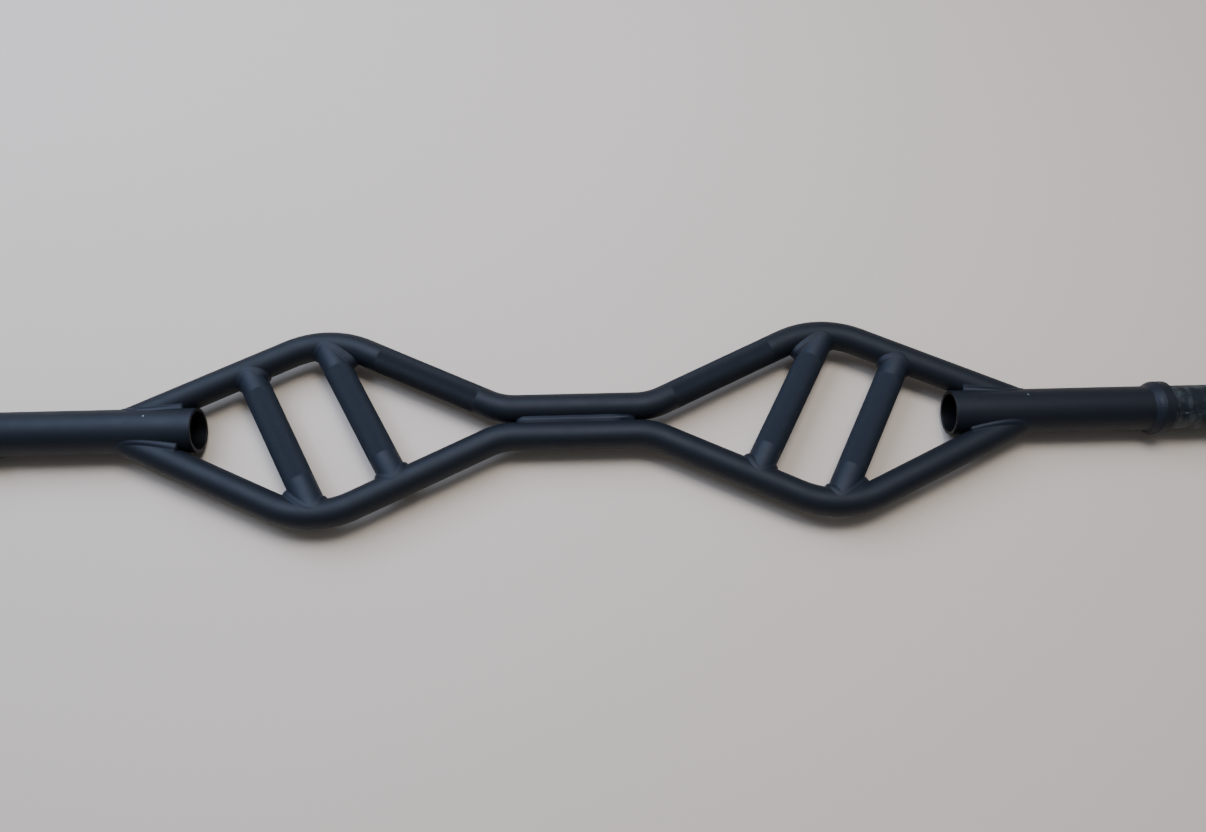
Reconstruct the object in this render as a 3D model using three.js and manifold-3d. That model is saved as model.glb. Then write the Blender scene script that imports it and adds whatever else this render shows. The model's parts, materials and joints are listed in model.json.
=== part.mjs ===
// A multi-grip weight bar: two bent rails that form two diamonds, four grips welded between them,
// and two end tubes that carry collars and go on as plate sleeves.
// Millimetres. X runs along the bar, Y from the front rail to the back rail, Z up.
// The origin is the middle of the bar, on the axis of the end tubes.

import * as THREE from 'three';
import { mergeVertices } from 'three/addons/utils/BufferGeometryUtils.js';
import Module from 'manifold-3d';

// ---------------------------------------------------------------- driving dimensions

// rails: corner points of one quarter of a rail's centreline, before its bends are rounded
const RAIL_RADIUS = 16;
const RAIL_WALL = 3;
const CENTRE_CORNER = { x: 84, y: 16.6 };
const APEX_CORNER = { x: 285, y: 112.3 };
const AXIS_CROSSING_X = 523.4;
const CENTRE_BEND_RADIUS = 73;
const APEX_BEND_RADIUS = 102;
const RAIL_TIP_X = 504;

// grips: the |x| at which each one's axis meets the back rail and the front rail
const OUTER_GRIP = { backX: 373.6, frontX: 281.9 };
const INNER_GRIP = { backX: 288.6, frontX: 194.9 };

// end tubes, from the open mouth inside the diamond to the end of the plate sleeve
const TUBE_RADIUS = 25;
const TUBE_WALL = 3.5;
const MOUTH_X = 420.5;
const TUBE_END_X = 1062;

// collars and end plugs
const COLLAR_RADIUS = 30;
const COLLAR_INNER_X = 649;
const COLLAR_OUTER_X = 662;
const COLLAR_EDGE = 2.5;
const PLUG_HEAD = 5;
const PLUG_EDGE = 1.5;
const PLUG_SKIRT = 22;
const PLUG_WALL = 2.5;

// weld beads
const GRIP_BEAD = 3.5;
const RAIL_BEAD = 4.2;
const RAIL_BEAD_START_X = 439;
const CENTRE_BEAD = { halfLength: 67, halfWidth: 5, root: 4, edge: 10.4, crown: 11.3 };
const COLLAR_BEAD = { length: 6.5, height: 4.4 };

// clearance that keeps touching pieces apart, and the fineness of round shapes
const GAP = 0.3;
const RAIL_SIDES = 20;
const BORE_SIDES = 12;
const TUBE_SIDES = 32;
const APEX_BEND_STEPS = 8;
const CENTRE_BEND_STEPS = 4;
const BEAD_SIDES = 6;
const GRIP_BEAD_STEPS = 16;
const RAIL_BEAD_STEPS = 24;

// ---------------------------------------------------------------- materials

const steel = (color, roughness) => new THREE.MeshStandardMaterial({ color, roughness, metalness: 0.3 });
const LOOKS = {
  rail: () => steel('#20242b', 0.42),
  grip: () => steel('#1c2026', 0.6),
  tube: () => steel('#22262d', 0.4),
  collar: () => steel('#24292f', 0.42),
  bead: () => steel('#2b3038', 0.5),
  plug: () => new THREE.MeshStandardMaterial({ color: '#141517', roughness: 0.55, metalness: 0 }),
};

// ---------------------------------------------------------------- solids

const wasm = await Module();
wasm.setup();

/** A closed three.js geometry as a solid that can be cut and joined. */
function solidOf(geometry) {
  const bare = geometry.clone();
  bare.deleteAttribute('normal');
  bare.deleteAttribute('uv');
  const merged = mergeVertices(bare, 1e-4);
  return new wasm.Manifold(new wasm.Mesh({
    numProp: 3,
    vertProperties: new Float32Array(merged.attributes.position.array),
    triVerts: new Uint32Array(merged.index.array),
  }));
}

/** A solid back as a three.js geometry. */
function geometryOf(solid) {
  const mesh = solid.getMesh();
  const geometry = new THREE.BufferGeometry();
  geometry.setAttribute('position', new THREE.BufferAttribute(mesh.vertProperties, 3));
  geometry.setIndex(new THREE.BufferAttribute(mesh.triVerts, 1));
  return geometry;
}

/** A round bar between two points. */
function roundBar(start, end, radius, sides) {
  const along = new THREE.Vector3().subVectors(end, start);
  const geometry = new THREE.CylinderGeometry(radius, radius, along.length(), sides);
  const turn = new THREE.Quaternion();
  turn.setFromUnitVectors(new THREE.Vector3(0, 1, 0), along.clone().normalize());
  geometry.applyQuaternion(turn);
  geometry.translate(...start.clone().addScaledVector(along, 0.5).toArray());
  return solidOf(geometry);
}

/** A ring or plug turned about the X axis. Its outline is a list of [x, radius], clockwise. */
function turned(outline, side) {
  const points = outline.map(([x, radius]) => new THREE.Vector2(radius, x)).reverse();
  if (points[0].x > 0) {
    points.push(points[0]);
  }
  const geometry = new THREE.LatheGeometry(points, TUBE_SIDES);
  geometry.rotateZ(-Math.PI / 2);
  if (side < 0) {
    geometry.rotateY(Math.PI);
  }
  return geometry;
}

/** A block that holds everything between two values of x. */
function slab(fromX, toX) {
  const depth = 400;
  const geometry = new THREE.BoxGeometry(toX - fromX, depth, depth);
  geometry.translate((fromX + toX) / 2, 0, 0);
  return solidOf(geometry);
}

// ---------------------------------------------------------------- rail centrelines

/** A path through fixed stations, with the true tangent at each one. */
class StationPath extends THREE.Curve {
  constructor(stations) {
    super();
    this.stations = stations;
  }

  getPoint(t) {
    const place = t * (this.stations.length - 1);
    const index = Math.min(Math.floor(place), this.stations.length - 2);
    const { point } = this.stations[index];
    return point.clone().lerp(this.stations[index + 1].point, place - index);
  }

  getTangent(t) {
    return this.stations[Math.round(t * (this.stations.length - 1))].tangent.clone();
  }

  getUtoTmapping(u) {
    return u;
  }
}

/** Stations along a rail: straight runs between corners that are rounded to arcs. */
function railStations(side) {
  const reach = AXIS_CROSSING_X - 8;
  const slope = APEX_CORNER.y / (AXIS_CROSSING_X - APEX_CORNER.x);
  const quarter = [
    { x: CENTRE_CORNER.x, y: CENTRE_CORNER.y, radius: CENTRE_BEND_RADIUS, steps: CENTRE_BEND_STEPS },
    { x: APEX_CORNER.x, y: APEX_CORNER.y, radius: APEX_BEND_RADIUS, steps: APEX_BEND_STEPS },
    { x: reach, y: (AXIS_CROSSING_X - reach) * slope },
  ];
  const mirrored = quarter.map((corner) => ({ ...corner, x: -corner.x })).reverse();
  const corners = [...mirrored, ...quarter];
  const at = corners.map(({ x, y }) => new THREE.Vector3(x, side * y, 0));
  const heading = at.slice(1).map((point, i) => point.clone().sub(at[i]).normalize());
  const stations = [{ point: at[0], tangent: heading[0] }];
  for (let i = 1; i < at.length - 1; i += 1) {
    const before = heading[i - 1];
    const after = heading[i];
    const turn = Math.atan2(before.x * after.y - before.y * after.x, before.dot(after));
    const { radius, steps } = corners[i];
    const start = at[i].clone().addScaledVector(before, -radius * Math.tan(Math.abs(turn) / 2));
    const inward = new THREE.Vector3(-before.y, before.x, 0).multiplyScalar(Math.sign(turn) * radius);
    const centre = start.clone().add(inward);
    for (let k = 0; k <= steps; k += 1) {
      const angle = (turn * k) / steps;
      const spoke = inward.clone().negate().applyAxisAngle(new THREE.Vector3(0, 0, 1), angle);
      const tangent = before.clone().applyAxisAngle(new THREE.Vector3(0, 0, 1), angle);
      stations.push({ point: centre.clone().add(spoke), tangent });
    }
  }
  stations.push({ point: at.at(-1), tangent: heading.at(-1) });
  return stations;
}

const RAIL_PATHS = new Map([1, -1].map((side) => [side, new StationPath(railStations(side))]));

/** A round rod along a rail's centreline. */
function railRod(side, radius, sides) {
  const path = RAIL_PATHS.get(side);
  const circle = new THREE.Shape();
  for (let i = 0; i < sides; i += 1) {
    const angle = (2 * Math.PI * i) / sides;
    circle[i ? 'lineTo' : 'moveTo'](radius * Math.cos(angle), radius * Math.sin(angle));
  }
  const options = { steps: path.stations.length - 1, extrudePath: path, curveSegments: 1 };
  return solidOf(new THREE.ExtrudeGeometry(circle, options));
}

/** The nearest distance, seen from above, from a point to a rail's centreline. */
function offsetFromRail(side, point) {
  const { stations } = RAIL_PATHS.get(side);
  const flat = new THREE.Vector3(point.x, point.y, 0);
  const nearest = new THREE.Vector3();
  let best = Infinity;
  for (let i = 1; i < stations.length; i += 1) {
    const run = new THREE.Line3(stations[i - 1].point, stations[i].point);
    run.closestPointToPoint(flat, true, nearest);
    best = Math.min(best, nearest.distanceTo(flat));
  }
  return best;
}

/** The point of a rail's centreline at a given x. */
function railPoint(side, x) {
  const { stations } = RAIL_PATHS.get(side);
  const next = stations.findIndex(({ point }) => point.x > x);
  const a = stations[next - 1].point;
  const b = stations[next].point;
  return a.clone().lerp(b, (x - a.x) / (b.x - a.x));
}

// Rails as they are, and a little larger to cut their neighbours clear of them.
const RAIL_CUTTERS = new Map([1, -1].map((side) => [side, railRod(side, RAIL_RADIUS + GAP, RAIL_SIDES)]));
const TUBE_CUTTERS = new Map([1, -1].map((side) => {
  const start = new THREE.Vector3(side * MOUTH_X, 0, 0);
  const end = new THREE.Vector3(side * COLLAR_INNER_X, 0, 0);
  return [side, roundBar(start, end, TUBE_RADIUS + GAP, TUBE_SIDES)];
}));

// ---------------------------------------------------------------- sub-parts

const bar = new THREE.Group();

function addPart(name, geometry, look) {
  const mesh = new THREE.Mesh(geometry, LOOKS[look]());
  mesh.name = name;
  bar.add(mesh);
}

function rail(side) {
  return railRod(side, RAIL_RADIUS, RAIL_SIDES)
    .subtract(railRod(side, RAIL_RADIUS - RAIL_WALL, BORE_SIDES))
    .subtract(TUBE_CUTTERS.get(1))
    .subtract(TUBE_CUTTERS.get(-1))
    .intersect(slab(-RAIL_TIP_X, RAIL_TIP_X));
}

/** Where one grip's axis meets the two rails. */
function gripEnds(sideX, { backX, frontX }) {
  return { back: railPoint(1, sideX * backX), front: railPoint(-1, sideX * frontX) };
}

function grip(sideX, size) {
  const { back, front } = gripEnds(sideX, size);
  return roundBar(back, front, RAIL_RADIUS, RAIL_SIDES)
    .subtract(roundBar(back, front, RAIL_RADIUS - RAIL_WALL, BORE_SIDES))
    .subtract(RAIL_CUTTERS.get(1))
    .subtract(RAIL_CUTTERS.get(-1));
}

/** The bead round one end of a grip: a ring that follows the joint, cut clear of both tubes. */
function gripBead(sideX, size, sideY) {
  const { back, front } = gripEnds(sideX, size);
  const [from, to] = sideY > 0 ? [back, front] : [front, back];
  const along = to.clone().sub(from).normalize();
  const across = new THREE.Vector3(-along.y, along.x, 0);
  const sunk = 1;
  const points = [];
  for (let i = 0; i < GRIP_BEAD_STEPS; i += 1) {
    const angle = (2 * Math.PI * i) / GRIP_BEAD_STEPS;
    const height = (RAIL_RADIUS - sunk) * Math.sin(angle);
    const seat = from.clone().addScaledVector(across, (RAIL_RADIUS - sunk) * Math.cos(angle));
    const reach = Math.sqrt((RAIL_RADIUS + 0.5) ** 2 - height ** 2);
    let near = 0;
    let far = 2 * RAIL_RADIUS;
    while (far - near > 0.01) {
      const middle = (near + far) / 2;
      const inside = offsetFromRail(sideY, seat.clone().addScaledVector(along, middle)) < reach;
      [near, far] = inside ? [middle, far] : [near, middle];
    }
    const point = seat.addScaledVector(along, far);
    points.push(new THREE.Vector3(point.x, point.y, height));
  }
  const ring = new THREE.CatmullRomCurve3(points, true);
  return solidOf(new THREE.TubeGeometry(ring, GRIP_BEAD_STEPS, GRIP_BEAD, BEAD_SIDES, true))
    .subtract(RAIL_CUTTERS.get(sideY))
    .subtract(roundBar(from, to, RAIL_RADIUS + GAP, RAIL_SIDES));
}

/** The bead where a rail's tip lies on an end tube: over, round the tip and under. */
function railEndBead(sideX, sideY) {
  const run = AXIS_CROSSING_X - APEX_CORNER.x;
  const slope = Math.atan2(APEX_CORNER.y, run);
  const points = [];
  for (let i = 0; i < RAIL_BEAD_STEPS; i += 1) {
    const angle = (2 * Math.PI * i) / RAIL_BEAD_STEPS;
    const height = RAIL_RADIUS * Math.sin(angle);
    const wide = RAIL_RADIUS * Math.cos(angle);
    const y = Math.sqrt(TUBE_RADIUS ** 2 - height ** 2);
    const axisY = y - wide * Math.cos(slope);
    const x = AXIS_CROSSING_X - (axisY * run) / APEX_CORNER.y + wide * Math.sin(slope);
    points.push(new THREE.Vector3(sideX * x, sideY * y, height));
  }
  const ring = new THREE.CatmullRomCurve3(points, true);
  const [low, high] = [RAIL_BEAD_START_X, AXIS_CROSSING_X].map((x) => sideX * x).sort((a, b) => a - b);
  const tip = sideX * (RAIL_TIP_X + GAP);
  const railInView = RAIL_CUTTERS.get(sideY).intersect(slab(Math.min(0, tip), Math.max(0, tip)));
  return solidOf(new THREE.TubeGeometry(ring, RAIL_BEAD_STEPS, RAIL_BEAD, BEAD_SIDES, true))
    .intersect(slab(low, high))
    .subtract(railInView)
    .subtract(TUBE_CUTTERS.get(sideX));
}

/** The long bead in the groove between the rails, on the top or the bottom. */
function centreBead(sideZ) {
  const { halfLength, halfWidth, root, edge, crown } = CENTRE_BEAD;
  const section = new THREE.Shape();
  section.moveTo(-halfWidth, root);
  section.lineTo(halfWidth, root);
  section.lineTo(halfWidth, edge);
  section.quadraticCurveTo(0, 2 * crown - edge, -halfWidth, edge);
  section.closePath();
  const options = { depth: 2 * halfLength, bevelEnabled: false, curveSegments: 6 };
  const geometry = new THREE.ExtrudeGeometry(section, options);
  geometry.translate(0, 0, -halfLength);
  geometry.rotateX(Math.PI / 2);
  geometry.rotateZ(Math.PI / 2);
  if (sideZ < 0) {
    geometry.rotateX(Math.PI);
  }
  return solidOf(geometry).subtract(RAIL_CUTTERS.get(1)).subtract(RAIL_CUTTERS.get(-1));
}

function endTube(side) {
  const bore = TUBE_RADIUS - TUBE_WALL;
  const edge = 0.8;
  return turned([
    [MOUTH_X, bore],
    [TUBE_END_X, bore],
    [TUBE_END_X, TUBE_RADIUS],
    [MOUTH_X + edge, TUBE_RADIUS],
    [MOUTH_X, TUBE_RADIUS - edge],
  ], side);
}

function collar(side) {
  return turned([
    [COLLAR_INNER_X, TUBE_RADIUS + GAP],
    [COLLAR_OUTER_X, TUBE_RADIUS + GAP],
    [COLLAR_OUTER_X, COLLAR_RADIUS - 0.5],
    [COLLAR_OUTER_X - 0.5, COLLAR_RADIUS],
    [COLLAR_INNER_X + COLLAR_EDGE, COLLAR_RADIUS],
    [COLLAR_INNER_X + COLLAR_EDGE / 3, COLLAR_RADIUS - COLLAR_EDGE / 3],
    [COLLAR_INNER_X, COLLAR_RADIUS - COLLAR_EDGE],
  ], side);
}

function collarBead(side) {
  const root = TUBE_RADIUS + GAP;
  const face = COLLAR_INNER_X - GAP;
  return turned([
    [face, root],
    [face, root + COLLAR_BEAD.height],
    [face - COLLAR_BEAD.length / 2, root + COLLAR_BEAD.height * 0.62],
    [face - COLLAR_BEAD.length, root],
  ], side);
}

/** A moulded plug: a round head over the tube's end and a skirt inside its bore. */
function endPlug(side) {
  const headBack = TUBE_END_X + GAP;
  const headFront = headBack + PLUG_HEAD;
  const skirt = TUBE_RADIUS - TUBE_WALL - GAP;
  return turned([
    [headFront, 0],
    [headFront, TUBE_RADIUS - PLUG_EDGE],
    [headFront - PLUG_EDGE, TUBE_RADIUS],
    [headBack, TUBE_RADIUS],
    [headBack, skirt],
    [headBack - PLUG_SKIRT, skirt],
    [headBack - PLUG_SKIRT, skirt - PLUG_WALL],
    [headBack, skirt - PLUG_WALL],
    [headBack, 0],
  ], side);
}

// ---------------------------------------------------------------- the assembly

const ACROSS = [['back', 1], ['front', -1]];
const ALONG = [['left', -1], ['right', 1]];
const GRIPS = [['outer', OUTER_GRIP], ['inner', INNER_GRIP]];

for (const [where, sideY] of ACROSS) {
  addPart(`${where}_rail`, geometryOf(rail(sideY)), 'rail');
}
for (const [where, sideX] of ALONG) {
  addPart(`${where}_end_tube`, endTube(sideX), 'tube');
  addPart(`${where}_collar`, collar(sideX), 'collar');
  addPart(`${where}_collar_weld`, collarBead(sideX), 'bead');
  addPart(`${where}_end_plug`, endPlug(sideX), 'plug');
  for (const [row, size] of GRIPS) {
    addPart(`${where}_${row}_grip`, geometryOf(grip(sideX, size)), 'grip');
    for (const [end, sideY] of ACROSS) {
      addPart(`${where}_${row}_grip_${end}_weld`, geometryOf(gripBead(sideX, size, sideY)), 'bead');
    }
  }
  for (const [end, sideY] of ACROSS) {
    addPart(`${where}_${end}_rail_end_weld`, geometryOf(railEndBead(sideX, sideY)), 'bead');
  }
}
addPart('centre_weld_top', geometryOf(centreBead(1)), 'bead');
addPart('centre_weld_bottom', geometryOf(centreBead(-1)), 'bead');

export default bar;
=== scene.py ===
"""A multi-grip weight bar in black powder coat: two bent rails with four knurled grips between
them, and two end tubes that pass through collars and go on as plate sleeves. Everything is in
metres, in the model's own frame: x along the bar, y from the front rail to the back, z up."""

import json
import math

import bmesh
import bpy
import numpy as np
from mathutils import Matrix, Vector

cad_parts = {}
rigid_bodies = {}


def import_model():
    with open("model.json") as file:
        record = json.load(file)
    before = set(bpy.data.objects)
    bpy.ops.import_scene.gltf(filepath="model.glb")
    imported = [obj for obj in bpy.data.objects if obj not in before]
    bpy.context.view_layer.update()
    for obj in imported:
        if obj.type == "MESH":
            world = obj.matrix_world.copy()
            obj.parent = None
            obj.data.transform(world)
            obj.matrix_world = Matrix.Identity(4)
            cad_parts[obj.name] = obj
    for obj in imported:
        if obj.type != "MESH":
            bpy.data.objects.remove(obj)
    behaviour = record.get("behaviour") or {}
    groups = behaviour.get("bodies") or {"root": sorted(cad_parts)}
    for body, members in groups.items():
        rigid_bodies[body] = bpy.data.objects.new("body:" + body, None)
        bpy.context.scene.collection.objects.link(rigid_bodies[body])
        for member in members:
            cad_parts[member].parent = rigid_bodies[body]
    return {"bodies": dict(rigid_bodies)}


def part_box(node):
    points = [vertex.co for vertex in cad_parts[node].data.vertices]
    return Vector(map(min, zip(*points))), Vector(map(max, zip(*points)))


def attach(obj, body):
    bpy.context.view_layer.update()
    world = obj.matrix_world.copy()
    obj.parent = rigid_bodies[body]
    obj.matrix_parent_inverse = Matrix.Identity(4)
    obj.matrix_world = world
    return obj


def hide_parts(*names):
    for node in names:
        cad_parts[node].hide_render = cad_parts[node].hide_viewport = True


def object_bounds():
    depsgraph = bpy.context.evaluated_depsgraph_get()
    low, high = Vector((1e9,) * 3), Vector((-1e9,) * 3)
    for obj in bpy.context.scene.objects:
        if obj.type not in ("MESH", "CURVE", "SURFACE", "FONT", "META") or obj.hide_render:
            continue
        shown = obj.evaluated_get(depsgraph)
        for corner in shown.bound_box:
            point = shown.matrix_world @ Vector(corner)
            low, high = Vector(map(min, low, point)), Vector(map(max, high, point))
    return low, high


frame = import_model()
MODEL_LOW, MODEL_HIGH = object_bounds()

# the whole bar is one body
BODY = next(iter(frame["bodies"]))

MM = 0.001
UP = np.array([0.0, 0.0, 1.0])

# ------------------------------------------------------------------ sizes

SIDES = {"left": -1, "right": 1}
RAILS = {"back": 1, "front": -1}

# from the model's own boxes
RAIL_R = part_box("back_rail")[1].z
TUBE_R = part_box("right_end_tube")[1].z
MOUTH_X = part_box("right_end_tube")[0].x
TUBE_END_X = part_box("right_end_tube")[1].x
COLLAR_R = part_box("right_collar")[1].z
COLLAR_IN_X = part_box("right_collar")[0].x
COLLAR_OUT_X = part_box("right_collar")[1].x
PLUG_IN_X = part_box("right_end_plug")[0].x
PLUG_OUT_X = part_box("right_end_plug")[1].x
PLUG_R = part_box("right_end_plug")[1].z
FLOOR_Z = MODEL_LOW.z

# corner points of a quarter of a rail's centreline, and the bends that round them
CENTRE_CORNER = (84 * MM, 16.6 * MM)
APEX_CORNER = (285 * MM, 112.3 * MM)
AXIS_CROSSING_X = 523.4 * MM
CENTRE_BEND_R = 73 * MM
APEX_BEND_R = 102 * MM
OUTER_SLOPE = math.atan2(APEX_CORNER[1], AXIS_CROSSING_X - APEX_CORNER[0])

# how far from the bar's middle each grip's axis meets the two rails' centrelines, and how far
# along the axis from the back one its knurl starts and ends
GRIPS = {
    "outer": {"back": 373.6 * MM, "front": 281.9 * MM, "knurl": (30 * MM, 154 * MM)},
    "inner": {"back": 288.6 * MM, "front": 194.9 * MM, "knurl": (34 * MM, 160 * MM)},
}
# how far from the bar's middle each of the back rail's knurls starts and ends
RAIL_KNURL_X = (108 * MM, 225 * MM)
# the wall of the end tubes, which shows at their open mouths
TUBE_WALL = 3.5 * MM

# how far a tube's end goes into the tube that it is welded to, and how far outside the rail its
# joint with a grip is taken
RAIL_BURIED = 1.5 * MM
GRIP_BURIED = 1.6 * MM
JOINT_OUTSIDE = 0.6 * MM

# how closely the points of a rail's centreline lie, how far it is drawn past the bar's axis, and
# how far past its outer bend it stays round before it turns into its shaped end
LINE_STEP = 1 * MM
PAST_CROSSING = 20 * MM
PAST_BEND = 2 * MM

# 50 diamonds round a 32 mm tube put the knurl's grooves 1.4 mm apart, between a medium and a
# coarse one. Rows of points lie half a diamond apart there, and further apart on a plain stretch.
SPOKES = 100
HALF_DIAMOND = 2 * math.pi * RAIL_R / SPOKES
PLAIN_ROW = 4 * MM

# how deep the grooves go, and over how many rows they fade out
KNURL_DEPTH = 0.42 * MM
KNURL_FADE = 3

# how many rows carry a grip or a rail on to its shaped end
GRIP_END_ROWS = 7
RAIL_END_ROWS = 23

# a weld bead's ripples, the height of its crown, how softly its toes run out, and how deep a
# corner can lie below its face before that makes its toes no softer
RIPPLE_PITCH = 3.2 * MM
RIPPLE_HEIGHT = 0.08 * MM
CROWN = 0.3 * MM
SOFT_TOES = 0.4
DEEPEST_HOLLOW = 2.6 * MM

# how finely a bead is drawn along and across, how finely its joint is first worked out, and in
# how many halvings a joint's points are found
BEAD_STEP = 0.55 * MM
BEAD_ARC = 10
GRIP_JOINT_POINTS = 400
RAIL_END_POINTS = 2400
HALVINGS = 20

# how deep a bead's root lies, and how far its toes sink into the tubes
ROOT_DEPTH = 1.6 * MM
SINK = 0.06 * MM

# round a grip's end: the width of the bead's face, and how much wider and higher it starts
GRIP_BEAD = 6.6 * MM
START_WIDER = 0.45
START_HIGHER = 1.1 * MM

# along a rail's end: the width of the face near the tube's mouth, on top, and at the rail's tip,
# how far round the rail from the tip it starts and ends, how far its ends are rounded, and how
# high it is lifted
RAIL_END_BEADS = {
    ("left", "back"): (5.5 * MM, 6.0 * MM, 2.6 * MM),
    ("left", "front"): (8.0 * MM, 6.6 * MM, 2.6 * MM),
    ("right", "back"): (7.0 * MM, 5.6 * MM, 2.6 * MM),
    ("right", "front"): (4.5 * MM, 7.4 * MM, 3.0 * MM),
}
RAIL_END_FROM = math.radians(156)
RAIL_END_ROUND = 4 * MM
RAIL_END_LIFT = 0.4 * MM

# between the rails: where the bead ends, its half width, how far its ends are rounded, how high
# and how deep it goes, and the lump that was left on it
CENTRE_BEAD_X = 67 * MM
CENTRE_BEAD_HALF = 3.8 * MM
CENTRE_BEAD_ROUND = 9 * MM
CENTRE_BEAD_LIFT = 1 * MM
CENTRE_ROOT_Z = 4 * MM
LUMP_X = 54 * MM
LUMP_LENGTH = 7 * MM
LUMP_HEIGHT = 1.2 * MM

# at a collar: the length along the tube and the height up the collar, how high it is lifted, how
# far the corner counts as lying below its face, and its rows
COLLAR_LEGS = {"left": (4.6 * MM, 4.4 * MM), "right": (7.0 * MM, 4.6 * MM)}
COLLAR_BEAD_LIFT = 0.4 * MM
COLLAR_BEAD_HOLLOW = 2.4 * MM
COLLAR_BEAD_ROWS = 290


# ------------------------------------------------------------------ meshes

# edges that turn by more than this stay sharp
SHARP_ABOVE = math.radians(28)
# how far off each end of a rounding its extra point lies
FLAT_BESIDE = 0.3 * MM


def unit(vectors):
    """Vectors made one long."""
    return vectors / np.maximum(np.linalg.norm(vectors, axis=-1, keepdims=True), 1e-12)


def skin(rings, loop=False, knurls=()):
    """Points and faces of a surface over rings of points. It is a loop of rings, or is capped at
    both ends. Each knurled stretch, from one ring to another, is split along its grooves."""
    count, around, _ = rings.shape
    points = [tuple(p) for p in rings.reshape(-1, 3)]
    faces = []
    for j in range(count if loop else count - 1):
        knurled = any(first <= j < last for first, last in knurls)
        low = j * around
        high = ((j + 1) % count) * around
        for i in range(around):
            k = (i + 1) % around
            a, b, c, d = low + i, low + k, high + k, high + i
            if not knurled:
                faces.append((a, b, c, d))
            elif (i + j) % 2 == 0:
                faces += [(a, b, c), (a, c, d)]
            else:
                faces += [(a, b, d), (b, c, d)]
    if not loop:
        for ring, turn in ((0, -1), (count - 1, 1)):
            hub = len(points)
            points.append(tuple(rings[ring].mean(axis=0)))
            rim = [ring * around + i for i in range(around)][::turn]
            faces += [(a, b, hub) for a, b in zip(rim, rim[1:] + rim[:1])]
    return points, faces


def piece(name, shape, material, stands_for):
    """A mesh that rides on the bar and stands for one of the model's nodes. It is shaded smooth,
    but for its sharp edges and its knurl."""
    points, faces = shape
    mesh = bpy.data.meshes.new(name)
    mesh.from_pydata(points, [], faces)
    work = bmesh.new()
    work.from_mesh(mesh)
    bmesh.ops.recalc_face_normals(work, faces=work.faces)
    work.to_mesh(mesh)
    work.free()
    mesh.shade_smooth()
    mesh.set_sharp_from_angle(angle=SHARP_ABOVE)
    mesh.materials.append(material)
    made = bpy.data.objects.new(name, mesh)
    bpy.context.scene.collection.objects.link(made)
    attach(made, BODY)
    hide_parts(stands_for)
    return made


def turned(outline, x_side, facets=128):
    """Rings of a shape turned about the bar's long axis, from an outline of (x, radius)."""
    angles = np.linspace(0, 2 * math.pi, facets, endpoint=False)
    x, radius = np.array(outline).T
    ring = np.stack([np.zeros(facets), np.cos(angles), np.sin(angles)], -1)
    rings = radius[:, None, None] * ring[None]
    rings[:, :, 0] = x_side * x[:, None]
    return rings


def rounded(corners, steps=6):
    """An outline with its corners rounded. Each corner is (x, radius, size of its rounding). A
    point just off each end of a rounding keeps the long faces beside it looking flat."""
    outline = []
    for i, (x, radius, size) in enumerate(corners):
        here = np.array([x, radius])
        if not size:
            outline.append(here)
            continue
        before = unit(np.array(corners[i - 1][:2]) - here)
        after = unit(np.array(corners[(i + 1) % len(corners)][:2]) - here)
        shares = np.linspace(0, 1, steps)
        arc = [here + size * (before * (1 - t) ** 2 + after * t ** 2) for t in shares]
        flat = size + FLAT_BESIDE
        outline += [here + before * flat, *arc, here + after * flat]
    return outline


# ------------------------------------------------------------------ rail centrelines

def rail_line(side):
    """Closely spaced points along a rail's centreline, left to right, their headings, and how far
    along the rail each one lies."""
    reach = AXIS_CROSSING_X + PAST_CROSSING
    quarter = [
        (*CENTRE_CORNER, CENTRE_BEND_R),
        (*APEX_CORNER, APEX_BEND_R),
        (reach, (AXIS_CROSSING_X - reach) * math.tan(OUTER_SLOPE), 0),
    ]
    corners = [(-x, y, r) for x, y, r in reversed(quarter)] + quarter
    at = np.array([(x, side * y) for x, y, _ in corners])
    heading = unit(np.diff(at, axis=0))
    line = [at[0]]
    for i in range(1, len(at)):
        end = at[i]
        turn = 0
        if i < len(at) - 1:
            before, after = heading[i - 1], heading[i]
            turn = math.atan2(before[0] * after[1] - before[1] * after[0], before @ after)
            radius = corners[i][2]
            end = at[i] - before * radius * math.tan(abs(turn) / 2)
        count = max(2, round(np.linalg.norm(end - line[-1]) / LINE_STEP))
        line += list(np.linspace(line[-1], end, count)[1:])
        if turn:
            inward = np.array([-before[1], before[0]]) * math.copysign(radius, turn)
            count = round(abs(turn) * radius / LINE_STEP)
            for angle in np.linspace(0, turn, count)[1:]:
                c, s = math.cos(angle), math.sin(angle)
                spoke = np.array([[c, -s], [s, c]]) @ -inward
                line.append(end + inward + spoke)
    line = np.array(line)
    along = np.concatenate([[0], np.cumsum(np.linalg.norm(np.diff(line, axis=0), axis=1))])
    return line, unit(np.gradient(line, axis=0)), along


RAIL_LINES = {side: rail_line(side) for side in RAILS.values()}


def along_rail(side, x):
    """How far along a rail its centreline reaches a value of x."""
    line, _, along = RAIL_LINES[side]
    return float(np.interp(x, line[:, 0], along))


def rail_rings(side, distances, radii):
    """Rings round a rail at distances along it."""
    line, heading, along = RAIL_LINES[side]
    centre = np.stack([np.interp(distances, along, line[:, k]) for k in (0, 1)], -1)
    ahead = unit(np.stack([np.interp(distances, along, heading[:, k]) for k in (0, 1)], -1))
    flat = np.zeros((len(distances), 1))
    centre = np.concatenate([centre, flat], 1)
    across = np.concatenate([-ahead[:, 1:], ahead[:, :1], flat], 1)
    angles = np.linspace(0, 2 * math.pi, SPOKES, endpoint=False)
    spoke = across[:, None] * np.cos(angles)[None, :, None] + UP * np.sin(angles)[None, :, None]
    return centre[:, None] + spoke * radii[:, :, None]


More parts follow.
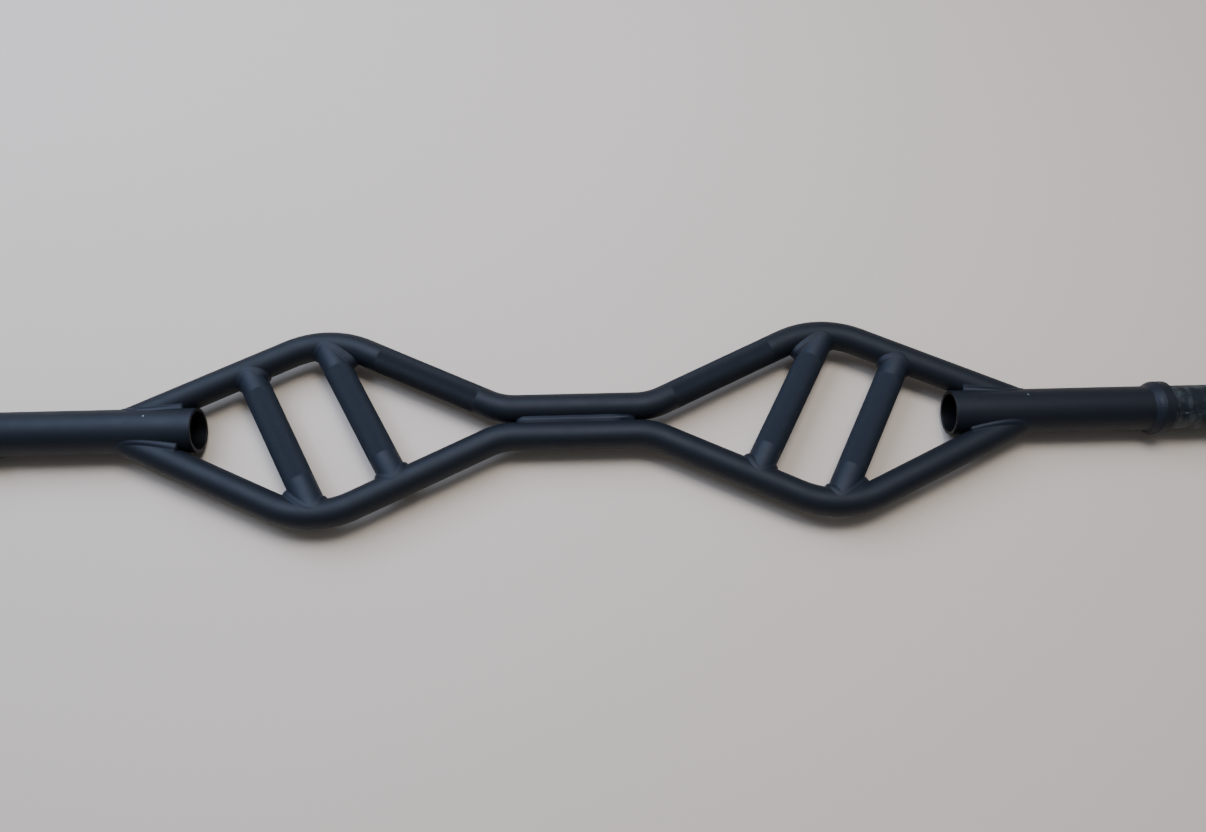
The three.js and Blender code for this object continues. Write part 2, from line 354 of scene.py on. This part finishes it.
def rail_axis_near(side, points):
    """The point of a rail's centreline nearest to each of some points."""
    line, heading, _ = RAIL_LINES[side]
    gaps = np.linalg.norm(points[:, None, :2] - line[None], axis=2)
    nearest = np.argmin(gaps, axis=1)
    ahead = heading[nearest]
    past = np.sum((points[:, :2] - line[nearest]) * ahead, axis=1, keepdims=True)
    return np.concatenate([line[nearest] + ahead * past, np.zeros((len(points), 1))], axis=1)


# ------------------------------------------------------------------ rails, grips, tubes

def knurl_radii(first_ring, count):
    """Radii over a knurled stretch. Every other point lies in a groove, and the grooves fade out
    towards both ends of the stretch."""
    rows = np.arange(count)
    fade = np.clip(np.minimum(rows, count - 1 - rows) / KNURL_FADE, 0, 1)
    in_groove = (rows[:, None] + first_ring + np.arange(SPOKES)[None]) % 2 == 0
    return RAIL_R - KNURL_DEPTH * fade[:, None] * in_groove


def stretches(marks, knurled):
    """Distances and radii along a tube, between marks. The spans named in knurled get the fine
    rows that a knurl needs. Returns them with the first and last ring of each knurl."""
    distances = np.array([marks[0]])
    radii = np.full((1, SPOKES), RAIL_R)
    knurls = []
    for span, (low, high) in enumerate(zip(marks, marks[1:])):
        pitch = HALF_DIAMOND if span in knurled else PLAIN_ROW
        count = max(1, round((high - low) / pitch))
        made = np.full((count + 1, SPOKES), RAIL_R)
        if span in knurled:
            knurls.append((len(distances) - 1, len(distances) - 1 + count))
            made = knurl_radii(len(distances) - 1, count + 1)
        distances = np.concatenate([distances, np.linspace(low, high, count + 1)[1:]])
        radii = np.concatenate([radii, made[1:]])
    return distances, radii, knurls


def saddle(angles):
    """Where the back rail's surface meets the right end tube's, at angles round the rail from its
    outer side."""
    height = RAIL_R * np.sin(angles)
    wide = RAIL_R * np.cos(angles)
    y = np.sqrt(TUBE_R ** 2 - height ** 2)
    axis_y = y - wide * math.cos(OUTER_SLOPE)
    x = AXIS_CROSSING_X - axis_y / math.tan(OUTER_SLOPE) + wide * math.sin(OUTER_SLOPE)
    return np.stack([x, y, height], -1)


def rail_tail(last_ring, x_side, y_side):
    """Rings that carry a rail on to its end, which is shaped to the end tube and goes into its
    wall."""
    mirror = np.array([x_side, y_side, 1])
    angles = np.linspace(0, 2 * math.pi, SPOKES, endpoint=False)
    end = saddle(angles if y_side > 0 else math.pi - angles) * mirror
    shares = np.linspace(0, 1, RAIL_END_ROWS + 1)[1:, None, None]
    tail = last_ring + (end - last_ring) * shares
    inward = 1 - RAIL_BURIED / TUBE_R
    buried = tail[-1] * np.array([1, inward, inward])
    return np.concatenate([tail, buried[None]])


def rail(where):
    """A rail: bent tube, knurled on the back one's two inner slopes."""
    side = RAILS[where]
    to_bend_end = APEX_BEND_R * math.tan(OUTER_SLOPE) * math.cos(OUTER_SLOPE)
    bend_end = APEX_CORNER[0] + to_bend_end + PAST_BEND
    near, far = RAIL_KNURL_X
    marks = [along_rail(side, x) for x in (-bend_end, -far, -near, near, far, bend_end)]
    knurled = (1, 3) if where == "back" else ()
    distances, radii, knurls = stretches(marks, knurled)
    body = rail_rings(side, distances, radii)
    left = rail_tail(body[0], -1, side)[::-1]
    right = rail_tail(body[-1], 1, side)
    knurls = [(low + len(left), high + len(left)) for low, high in knurls]
    return skin(np.concatenate([left, body, right]), knurls=knurls)


def grip_frame(kind, x_side):
    """A grip's axis: its start on the back rail's centreline, its heading, and its length."""
    ends = []
    for where, y_side in RAILS.items():
        line = RAIL_LINES[y_side][0]
        x = x_side * GRIPS[kind][where]
        ends.append(np.array([x, np.interp(x, line[:, 0], line[:, 1]), 0]))
    length = np.linalg.norm(ends[1] - ends[0])
    return ends[0], (ends[1] - ends[0]) / length, length


def grip_joint(kind, x_side, where, count=SPOKES):
    """Where a grip's surface meets a rail's, at angles round the grip: how far along the grip's
    axis, the grip's spokes, and the points. Both tubes are the same size, so the joint is taken
    just outside the rail, where it has no sharp peak on top."""
    start, ahead, length = grip_frame(kind, x_side)
    across = np.cross(UP, ahead)
    angles = np.linspace(0, 2 * math.pi, count, endpoint=False)
    spokes = across * np.cos(angles)[:, None] + UP * np.sin(angles)[:, None]
    inside = np.full(count, 0.0 if where == "back" else length)
    outside = np.full(count, length / 2)
    reach = RAIL_R + JOINT_OUTSIDE
    for _ in range(HALVINGS):
        middle = (inside + outside) / 2
        points = start + ahead * middle[:, None] + spokes * RAIL_R
        gaps = np.linalg.norm(points - rail_axis_near(RAILS[where], points), axis=1)
        inside = np.where(gaps < reach, middle, inside)
        outside = np.where(gaps < reach, outside, middle)
    return outside, spokes, points


def grip(kind, x_side):
    """A grip: straight tube, knurled but for its two ends, which are shaped to the rails."""
    start, ahead, _ = grip_frame(kind, x_side)
    low, spokes, _ = grip_joint(kind, x_side, "back")
    high, _, _ = grip_joint(kind, x_side, "front")
    first, last = GRIPS[kind]["knurl"]
    distances, radii, knurls = stretches((first - PLAIN_ROW, first, last, last + PLAIN_ROW), (1,))
    body = start + ahead * distances[:, None, None] + spokes[None] * radii[:, :, None]
    reaches = (low - GRIP_BURIED, high + GRIP_BURIED)
    ends = [start + ahead * reach[:, None] + spokes * RAIL_R for reach in reaches]
    shares = np.linspace(0, 1, GRIP_END_ROWS + 1)[:-1, None, None]
    back = ends[0] + (body[0] - ends[0]) * shares
    front = (ends[1] + (body[-1] - ends[1]) * shares)[::-1]
    knurls = [(a + len(back), b + len(back)) for a, b in knurls]
    return skin(np.concatenate([back, body, front]), knurls=knurls)


def end_tube(x_side):
    """An end tube: open at the mouth between the rails, and a plate sleeve beyond the collar."""
    bore = TUBE_R - TUBE_WALL
    corners = [
        (MOUTH_X, TUBE_R, 1.2 * MM),
        (TUBE_END_X, TUBE_R, 0.6 * MM),
        (TUBE_END_X, bore, 0.6 * MM),
        (MOUTH_X, bore, 0.8 * MM),
    ]
    return skin(turned(rounded(corners), x_side), loop=True)


def collar(x_side):
    """A thick ring with a softened inner rim and a sharper outer one."""
    hidden = TUBE_R - 1 * MM
    corners = [
        (COLLAR_IN_X, COLLAR_R, 2.4 * MM),
        (COLLAR_OUT_X, COLLAR_R, 0.7 * MM),
        (COLLAR_OUT_X, hidden, 0),
        (COLLAR_IN_X, hidden, 0),
    ]
    return skin(turned(rounded(corners), x_side), loop=True)


def end_plug(x_side):
    """A moulded plug: a thin head with a dished middle, and a hollow skirt inside the sleeve with
    a lead-in at its end."""
    gap = 0.3 * MM
    skirt = TUBE_R - TUBE_WALL - gap
    bore = skirt - 2.2 * MM
    dish = PLUG_OUT_X - 1.4 * MM
    head_back = TUBE_END_X + gap
    bore_floor = TUBE_END_X + 1.6 * MM
    hub = 1 * MM
    corners = [
        (dish, hub, 0),
        (dish, PLUG_R * 0.62, 1 * MM),
        (PLUG_OUT_X, PLUG_R * 0.72, 1 * MM),
        (PLUG_OUT_X, PLUG_R, 1.4 * MM),
        (head_back, PLUG_R, 0.4 * MM),
        (head_back, skirt, 0),
        (PLUG_IN_X + 6 * MM, skirt, 0.5 * MM),
        (PLUG_IN_X, skirt - 1 * MM, 0.5 * MM),
        (PLUG_IN_X, bore, 0),
        (bore_floor, bore, 0),
        (bore_floor, hub, 0),
    ]
    return skin(turned(rounded(corners), x_side))


# ------------------------------------------------------------------ welds

def wander(count, seed, loop):
    """A smooth wander between about -1 and 1 over a run of points, for a hand-laid bead."""
    draw = np.random.default_rng(seed)
    t = np.linspace(0, 2 * math.pi if loop else 5, count, endpoint=not loop)
    made = np.zeros(count)
    for waves in range(1, 5):
        made += np.sin(t * waves + draw.uniform(0, 6.28)) * draw.uniform(0.3, 1)
    return made / 2


def bead(toe_a, toe_b, outward, root, lift, hollow, seed, loop):
    """A weld bead from toe to toe along a joint, lifted along outward and closed over its root.
    hollow is how far the joint's corner lies below its face, and the further that is, the more
    softly its toes run out. Faint ripples lie across it like stacked coins."""
    steps = np.linalg.norm(np.diff((toe_a + toe_b) / 2, axis=0), axis=1)
    along = np.concatenate([[0], np.cumsum(steps)])
    ripples = max(1, round(along[-1] / RIPPLE_PITCH))
    rough = wander(len(along), seed, loop)[:, None]
    share = np.linspace(0, 1, BEAD_ARC + 1)
    hump = (4 * share * (1 - share))[None]
    phase = along[:, None] / along[-1] * ripples + 0.3 * hump + 0.3 * rough
    ripple = (0.5 + 0.5 * np.cos(2 * math.pi * phase)) ** 1.5
    rise = lift[:, None] * (1 + 0.15 * rough) * hump ** 1.5
    rise -= SOFT_TOES * hollow[:, None] * hump * (1 - hump)
    rise -= RIPPLE_HEIGHT * ripple * (1 - (1 - hump) ** 4)
    face = toe_a[:, None] * (1 - share)[None, :, None] + toe_b[:, None] * share[None, :, None]
    face += outward[:, None] * rise[:, :, None]
    return skin(np.concatenate([face, root[:, None]], axis=1), loop=loop)


def fillet(points, normal_a, normal_b, onto_a, onto_b, widths, lift, seed, loop):
    """A bead along a joint between two surfaces, with a face of given widths. The tighter the
    corner, the further the bead reaches along both. onto_a and onto_b put points on the
    surfaces."""
    facing = np.sum(normal_a * normal_b, axis=1, keepdims=True)
    reach = widths[:, None] / np.sqrt(2 * np.clip(1 + facing, 0.2, 2))
    toe_a = onto_a(points + unit(normal_b - facing * normal_a) * reach)
    toe_b = onto_b(points + unit(normal_a - facing * normal_b) * reach)
    outward = unit(normal_a + normal_b)
    lift = lift + CROWN * np.clip(facing[:, 0], 0.3, 1)
    hollow = np.sum(((toe_a + toe_b) / 2 - points) * outward, axis=1)
    hollow = np.clip(hollow, 0, DEEPEST_HOLLOW)
    root = points - outward * ROOT_DEPTH
    return bead(toe_a, toe_b, outward, root, lift, hollow, seed, loop)


def even(points, step):
    """Which of many closely spaced points to keep so that they lie about a step apart."""
    along = np.concatenate([[0], np.cumsum(np.linalg.norm(np.diff(points, axis=0), axis=1))])
    return np.searchsorted(along, np.arange(0, along[-1] - step / 2, step))


def sunk(points, axis, radius):
    """Points put just inside a tube's surface, straight out from those on its axis."""
    return axis + unit(points - axis) * (radius - SINK)


def grip_weld(kind, x_side, where, seed):
    """The bead right round one end of a grip. It is heaviest where it was started, a little above
    the side that faces the middle of the bar."""
    start, ahead, _ = grip_frame(kind, x_side)
    _, spokes, points = grip_joint(kind, x_side, where, GRIP_JOINT_POINTS)
    keep = even(points, BEAD_STEP)
    points, spokes = points[keep], spokes[keep]
    y_side = RAILS[where]

    def onto_grip(p):
        return sunk(p, start + ahead * ((p - start) @ ahead)[:, None], RAIL_R)

    def onto_rail(p):
        return sunk(p, rail_axis_near(y_side, p), RAIL_R)

    rail_normal = unit(points - rail_axis_near(y_side, points))
    started = spokes @ unit(np.array([-x_side, 0, 0.45]))
    swell = np.clip(started, 0, 1) ** 6
    rough = 0.07 * wander(len(points), seed + 50, True)
    widths = GRIP_BEAD * (1 + rough + START_WIDER * swell)
    lift = START_HIGHER * swell
    return fillet(points, rail_normal, spokes, onto_rail, onto_grip, widths, lift, seed, True)


def rail_end_weld(x_side, y_side, faces, seed):
    """The bead where a rail lies on an end tube: over the top, round the tip, and back
    underneath. faces is its width near the mouth, on top, and at the tip."""
    angles = np.linspace(RAIL_END_FROM, -RAIL_END_FROM, RAIL_END_POINTS)
    angles = angles[even(saddle(angles), BEAD_STEP)]
    mirror = np.array([x_side, y_side, 1])
    points = saddle(angles) * mirror
    across = np.array([math.sin(OUTER_SLOPE), math.cos(OUTER_SLOPE), 0])
    rail_normal = (across * np.cos(angles)[:, None] + UP * np.sin(angles)[:, None]) * mirror
    tube_normal = points * np.array([0, 1, 1]) / TUBE_R
    crossing = np.array([x_side * AXIS_CROSSING_X, 0, 0])
    ahead = np.array([math.cos(OUTER_SLOPE), -math.sin(OUTER_SLOPE), 0]) * mirror

    def onto_rail(p):
        return sunk(p, crossing + ahead * ((p - crossing) @ ahead)[:, None], RAIL_R)

    def onto_tube(p):
        return sunk(p, p * np.array([1, 0, 0]), TUBE_R)

    near_mouth, on_top, at_tip = faces
    round_from_tip = (0.5, 1.5, RAIL_END_FROM)
    widths = np.interp(np.abs(angles), round_from_tip, (at_tip, on_top, near_mouth))
    widths *= 1 + 0.06 * wander(len(angles), seed + 50, False)
    row = np.arange(len(angles))
    from_end = np.clip(np.minimum(row, row[::-1]) * BEAD_STEP / RAIL_END_ROUND, 0, 1)
    widths *= 0.12 + 0.88 * np.sqrt(1 - (1 - from_end) ** 2)
    lift = RAIL_END_LIFT * np.exp(-((1 - from_end) / 0.6) ** 2)
    return fillet(points, rail_normal, tube_normal, onto_rail, onto_tube, widths, lift, seed, False)


def centre_weld(z_side, seed):
    """The straight bead between the two rails, with rounded ends and a lump near its right one."""
    x = np.arange(-CENTRE_BEAD_X, CENTRE_BEAD_X, BEAD_STEP)
    from_end = np.minimum(x + CENTRE_BEAD_X, CENTRE_BEAD_X - x)
    half = CENTRE_BEAD_HALF * np.clip(from_end / CENTRE_BEAD_ROUND, 0.03, 1) ** 0.4
    half = half * (1 + 0.06 * wander(len(x), seed + 50, False))
    height = np.sqrt(RAIL_R ** 2 - (CENTRE_CORNER[1] - half) ** 2) - SINK
    toes = [np.stack([x, s * half, z_side * height], -1) for s in (1, -1)]
    outward = np.tile(UP * z_side, (len(x), 1))
    root = np.stack([x, 0 * x, z_side * np.minimum(height - 1 * MM, CENTRE_ROOT_Z)], -1)
    lift = CENTRE_BEAD_LIFT * (half / CENTRE_BEAD_HALF) ** 2
    lift += LUMP_HEIGHT * np.exp(-((x - LUMP_X) / LUMP_LENGTH) ** 2)
    return bead(*toes, outward, root, lift, 0 * x, seed, False)


def collar_weld(x_side, legs, seed):
    """The bead round the tube against the collar's inner face. legs is its length along the tube
    and its height up the collar."""
    angles = np.linspace(0, 2 * math.pi, COLLAR_BEAD_ROWS, endpoint=False)
    spoke = np.stack([0 * angles, np.cos(angles), np.sin(angles)], -1)
    along = np.array([x_side, 0, 0])
    rough = [1 + 0.05 * wander(COLLAR_BEAD_ROWS, seed + i, True) for i in range(2)]
    length, height = (leg * share[:, None] for leg, share in zip(legs, rough))
    toe_a = spoke * (TUBE_R - SINK) + along * (COLLAR_IN_X - length)
    toe_b = spoke * (TUBE_R + height) + along * (COLLAR_IN_X + SINK)
    outward = unit(spoke - along * 0.7)
    root = spoke * (TUBE_R - 0.8 * MM) + along * (COLLAR_IN_X + 1 * MM)
    lift = np.full(COLLAR_BEAD_ROWS, COLLAR_BEAD_LIFT)
    hollow = np.full(COLLAR_BEAD_ROWS, COLLAR_BEAD_HOLLOW)
    return bead(toe_a, toe_b, outward, root, lift, hollow, seed, True)


# ------------------------------------------------------------------ finishes

def linear(code):
    """A linear colour from an sRGB hex code."""
    parts = [int(code[i:i + 2], 16) / 255 for i in (1, 3, 5)]
    return (*(p / 12.92 if p <= 0.04045 else ((p + 0.055) / 1.055) ** 2.4 for p in parts), 1.0)


def node(tree, kind, inputs, out=0, **settings):
    """Adds a shader node with its settings. inputs gives its sockets values, or links them to
    other nodes' outputs. Returns one of its own outputs."""
    made = tree.nodes.new("ShaderNode" + kind)
    for key, value in settings.items():
        setattr(made, key, value)
    for key, value in inputs.items():
        if isinstance(value, bpy.types.NodeSocket):
            tree.links.new(value, made.inputs[key])
        else:
            made.inputs[key].default_value = value
    return made.outputs[out]


def blank(name):
    """A new material, its node tree and its main shader."""
    made = bpy.data.materials.new(name)
    made.use_nodes = True
    return made, made.node_tree, made.node_tree.nodes["Principled BSDF"]


SMOOTH = {"interpolation_type": "SMOOTHSTEP"}

# where a knock has chipped the coat, on top of each end tube between the rails
LEFT_CHIP = (-473 * MM, 9 * MM, 23.5 * MM)
RIGHT_CHIP = (503 * MM, 10.6 * MM, 22.6 * MM)

# the Mix node's colour sockets, which come after those for its other kinds of value
MIX_UNDER, MIX_OVER, MIX_RESULT = 6, 7, 2


def mottle(tree, size, detail, squeeze=(1, 1, 1)):
    """Random patches of about a given size, from 0 to 1. They are shorter along an axis whose
    squeeze is above 1, and longer where it is below."""
    spot = node(tree, "TexCoord", {}, "Object")
    spot = node(tree, "Mapping", {"Vector": spot, "Scale": squeeze}, "Vector")
    return node(tree, "TexNoise", {"Vector": spot, "Scale": 1 / size, "Detail": detail}, "Fac")


def dull_black(name, shade, roughness, grain=0.02 * MM, shine=0.35, wear_and_shade=None):
    """A dull black finish with a fine grain that softens the highlight, and patches from its first
    roughness to its second. grain is the grain's height, and shine is how much light it mirrors.
    The last argument gives, from the tree, the share and colour of each layer of wear and of
    painted shade, one over another."""
    made, tree, shader = blank(name)
    shader.inputs["Specular IOR Level"].default_value = shine
    shader.inputs["Base Color"].default_value = linear(shade)
    if wear_and_shade:
        colour = linear(shade)
        for share, layer_colour in wear_and_shade(tree):
            layers = {"Factor": share, MIX_UNDER: colour, MIX_OVER: linear(layer_colour)}
            colour = node(tree, "Mix", layers, MIX_RESULT, data_type="RGBA")
        tree.links.new(colour, shader.inputs["Base Color"])
    patchy = node(tree, "MapRange", {
        "Value": mottle(tree, 22 * MM, 4),
        "From Min": 0.25,
        "From Max": 0.75,
        "To Min": roughness[0],
        "To Max": roughness[1],
    }, "Result", **SMOOTH)
    tree.links.new(patchy, shader.inputs["Roughness"])
    bumps = {"Height": mottle(tree, 1.1 * MM, 1), "Distance": grain, "Strength": 0.6}
    tree.links.new(node(tree, "Bump", bumps, "Normal"), shader.inputs["Normal"])
    return made


def along_and_around(tree):
    """The distance from the bar's middle along it, and from its long axis."""
    spot = node(tree, "TexCoord", {}, "Object")
    along = node(tree, "VectorMath", {0: spot}, "Vector", operation="ABSOLUTE")
    across = node(tree, "VectorMath", {0: spot, 1: (0, 1, 1)}, "Vector", operation="MULTIPLY")
    around = node(tree, "VectorMath", {0: across}, "Value", operation="LENGTH")
    return node(tree, "SeparateXYZ", {"Vector": along}, "X"), around


def chip(tree, point):
    """The share of a ragged chip in the coat, about a point."""
    size = 1.2 * MM
    spot = node(tree, "TexCoord", {}, "Object")
    gap = node(tree, "VectorMath", {0: spot, 1: point}, "Value", operation="DISTANCE")
    ragged = node(tree, "Math", {0: mottle(tree, 1.5 * MM, 3), 1: size}, operation="MULTIPLY")
    gap = node(tree, "Math", {0: gap, 1: ragged}, operation="ADD")
    edge = {"Value": gap, "From Min": size * 1.45, "From Max": size * 1.25}
    return node(tree, "MapRange", edge, "Result", **SMOOTH)


def sleeve_wear_and_bore_shade(tree):
    """Plates rub the sleeve grey, most of all just past the collar. Each tube has a chip in its
    coat. The bore is painted nearly black, a painted shade for its unlit inside."""
    along, around = along_and_around(tree)
    starts = node(tree, "MapRange", {
        "Value": along,
        "From Min": COLLAR_OUT_X + 2 * MM,
        "From Max": COLLAR_OUT_X + 8 * MM,
    }, "Result", **SMOOTH)
    thins = node(tree, "MapRange", {
        "Value": along,
        "From Min": COLLAR_OUT_X + 95 * MM,
        "From Max": COLLAR_OUT_X + 25 * MM,
        "To Min": 0.25,
    }, "Result", **SMOOTH)
    rubbed = node(tree, "Math", {0: starts, 1: thins}, operation="MULTIPLY")
    patches = node(tree, "MapRange", {
        "Value": mottle(tree, 14 * MM, 5, (1, 0.6, 0.6)),
        "From Min": 0.46,
        "From Max": 0.66,
        "To Max": 0.55,
    }, "Result", **SMOOTH)
    scratches = node(tree, "MapRange", {
        "Value": mottle(tree, 6 * MM, 4, (0.6, 1.1, 1.1)),
        "From Min": 0.6,
        "From Max": 0.72,
        "To Max": 0.6,
    }, "Result", **SMOOTH)
    # painted shade: the bore is darkened nearly to black, as little light gets inside it
    bore = node(tree, "MapRange", {
        "Value": around,
        "From Min": TUBE_R - 1.6 * MM,
        "From Max": TUBE_R - 2.6 * MM,
    }, "Result", **SMOOTH)
    return (
        (node(tree, "Math", {0: rubbed, 1: patches}, operation="MULTIPLY"), "#4A524E"),
        (node(tree, "Math", {0: rubbed, 1: scratches}, operation="MULTIPLY"), "#626A67"),
        (chip(tree, LEFT_CHIP), "#8C959C"),
        (chip(tree, RIGHT_CHIP), "#6C737A"),
        # painted shade in the bore, not wear
        (bore, "#020203"),
    )


def collar_wear(tree):
    """Plates knock the coat grey along the collar's sharp outer rim, in patches."""
    along, around = along_and_around(tree)
    share = 1.0
    for value, none, full in (
        (along, COLLAR_OUT_X - 0.9 * MM, COLLAR_OUT_X - 0.3 * MM),
        (around, COLLAR_R - 1.6 * MM, COLLAR_R - 0.6 * MM),
        (mottle(tree, 6 * MM, 4), 0.4, 0.6),
    ):
        edge = {"Value": value, "From Min": none, "From Max": full}
        inside = node(tree, "MapRange", edge, "Result", **SMOOTH)
        share = node(tree, "Math", {0: share, 1: inside}, operation="MULTIPLY")
    return ((share, "#59605F"),)


# Black epoxy-polyester powder coat, sprayed on steel and baked. A fine orange peel turns the
# highlight into a soft satin band, and daylight gives the black its blue cast.
RAIL_COAT = dull_black("powder_coated_tube", "#11151B", (0.62, 0.56))
# The same coat over a rolled diamond knurl. Its points scatter the light, so the highlight
# spreads right across the tube. Its colour is painted a shade lighter than the smooth coat's,
# a painted sheen for the greyer look that this scatter gives.
KNURL_COAT = dull_black("powder_coated_knurl", "#181E27", (0.66, 0.6), 0.01 * MM, 0.4)
# The same coat on the end tubes, a touch smoother. It is rubbed to a dusty grey where plates
# slide on, and its bore is painted nearly black as painted shade.
SLEEVE_COAT = dull_black("powder_coated_sleeve", "#11151B", (0.6, 0.54), wear_and_shade=sleeve_wear_and_bore_shade)
# The same coat on a turned collar, with a broken pale line where plates knock its rim.
COLLAR_COAT = dull_black("powder_coated_collar", "#11151B", (0.6, 0.54), wear_and_shade=collar_wear)
# The same coat over weld metal, with a finer grain. Its colour is painted a shade lighter, a
# painted sheen for the light that its ripples catch.
WELD_COAT = dull_black("powder_coated_weld", "#121720", (0.6, 0.54), 0.01 * MM)
# Black moulded polyethylene, a neutral black with no blue in it. The mould's spark texture
# dulls it. The real one is much finer than a millimetre, and is drawn coarser so that it shows.
PLUG_PLASTIC = dull_black("moulded_polyethylene", "#141414", (0.62, 0.54), 0.03 * MM)


# ------------------------------------------------------------------ the bar

for where in RAILS:
    piece(f"{where}_rail_tube", rail(where), RAIL_COAT, f"{where}_rail")

for level, z_side, seed in (("top", 1, 5), ("bottom", -1, 6)):
    shape = centre_weld(z_side, seed)
    piece(f"centre_bead_{level}", shape, WELD_COAT, f"centre_weld_{level}")

for x_name, x_side in SIDES.items():
    round_bead = collar_weld(x_side, COLLAR_LEGS[x_name], 20 + x_side)
    for part, shape, coat, slot in (
        ("end_tube", end_tube(x_side), SLEEVE_COAT, "powder_coated_sleeve"),
        ("collar", collar(x_side), COLLAR_COAT, "powder_coated_collar"),
        ("collar_weld", round_bead, WELD_COAT, "coated_weld"),
        ("end_plug", end_plug(x_side), PLUG_PLASTIC, "moulded_plug"),
    ):
        piece(f"{x_name}_{part}_shape", shape, coat, f"{x_name}_{part}")
    for where, y_side in RAILS.items():
        label = f"{x_name}_{where}_rail_end"
        seed = 30 + 2 * x_side + y_side
        shape = rail_end_weld(x_side, y_side, RAIL_END_BEADS[x_name, where], seed)
        piece(f"{label}_bead", shape, WELD_COAT, f"{label}_weld")
    for kind in GRIPS:
        label = f"{x_name}_{kind}_grip"
        piece(f"{label}_tube", grip(kind, x_side), KNURL_COAT, label)
        for where, y_side in RAILS.items():
            seed = 40 + 4 * x_side + 2 * y_side + (kind == "outer")
            shape = grip_weld(kind, x_side, where, seed)
            piece(f"{label}_{where}_bead", shape, WELD_COAT, f"{label}_{where}_weld")


# ------------------------------------------------------------------ floor, light and camera

def lamp(name, spot, target, size, power, shade):
    """A square soft light that faces a point."""
    data = bpy.data.lights.new(name, "AREA")
    data.shape = "SQUARE"
    data.size = size
    data.energy = power
    data.color = linear(shade)[:3]
    made = bpy.data.objects.new(name, data)
    bpy.context.scene.collection.objects.link(made)
    made.location = spot
    made.rotation_euler = (Vector(target) - Vector(spot)).to_track_quat("-Z", "Y").to_euler()
    return made


# A plain pale floor in matt paint, even and warm, with no highlight.
floor_coat, _, floor_shader = blank("matt_painted_floor")
floor_shader.inputs["Base Color"].default_value = linear("#E6D3BC")
floor_shader.inputs["Roughness"].default_value = 0.9
bpy.ops.mesh.primitive_plane_add(size=60, location=(0, 0, FLOOR_Z))
floor = bpy.context.object
floor.name = "floor"
floor.data.materials.append(floor_coat)

# a cool soft window behind the bar at the left, and a nearly neutral ceiling lamp at its right
lamp("window", (-1.0, 0.9, 1.6), (-0.25, 0, 0), 1.5, 50, "#BFD5FF")
lamp("ceiling", (0.35, 0.5, 2.2), (0.1, 0, 0), 0.8, 31, "#ECF0FA")

# weak, very soft daylight from behind, which reaches the whole floor
daylight = bpy.data.lights.new("daylight", "SUN")
daylight.energy = 0.45
daylight.angle = math.radians(70)
daylight.color = linear("#E8EEFA")[:3]
sun = bpy.data.objects.new("daylight", daylight)
bpy.context.scene.collection.objects.link(sun)
sun.rotation_euler = (math.radians(-25), 0, 0)

# the room's own light, which fills the shadows
world = bpy.data.worlds.new("room")
bpy.context.scene.world = world
world.use_nodes = True
sky = world.node_tree.nodes["Background"]
sky.inputs["Color"].default_value = linear("#C8D4E6")
sky.inputs["Strength"].default_value = 0.2

# a view down on the bar from in front of it, about 1 m away, turned a little so the bar isn't
# quite level in the frame
camera_data = bpy.data.cameras.new("camera")
camera_data.sensor_width = 36
camera_data.lens = 26.87
camera = bpy.data.objects.new("camera", camera_data)
bpy.context.scene.collection.objects.link(camera)
eye = Vector((0.0164, -0.3812, 0.9352))
right = Vector((0.9996, -0.0268, 0.0040)).normalized()
forward = Vector((0.0139, 0.3823, -0.9239)).normalized()
above = right.cross(forward)
turn = Matrix((right, above, -forward)).transposed()
camera.matrix_world = Matrix.Translation(eye) @ turn.to_4x4()
bpy.context.scene.camera = camera
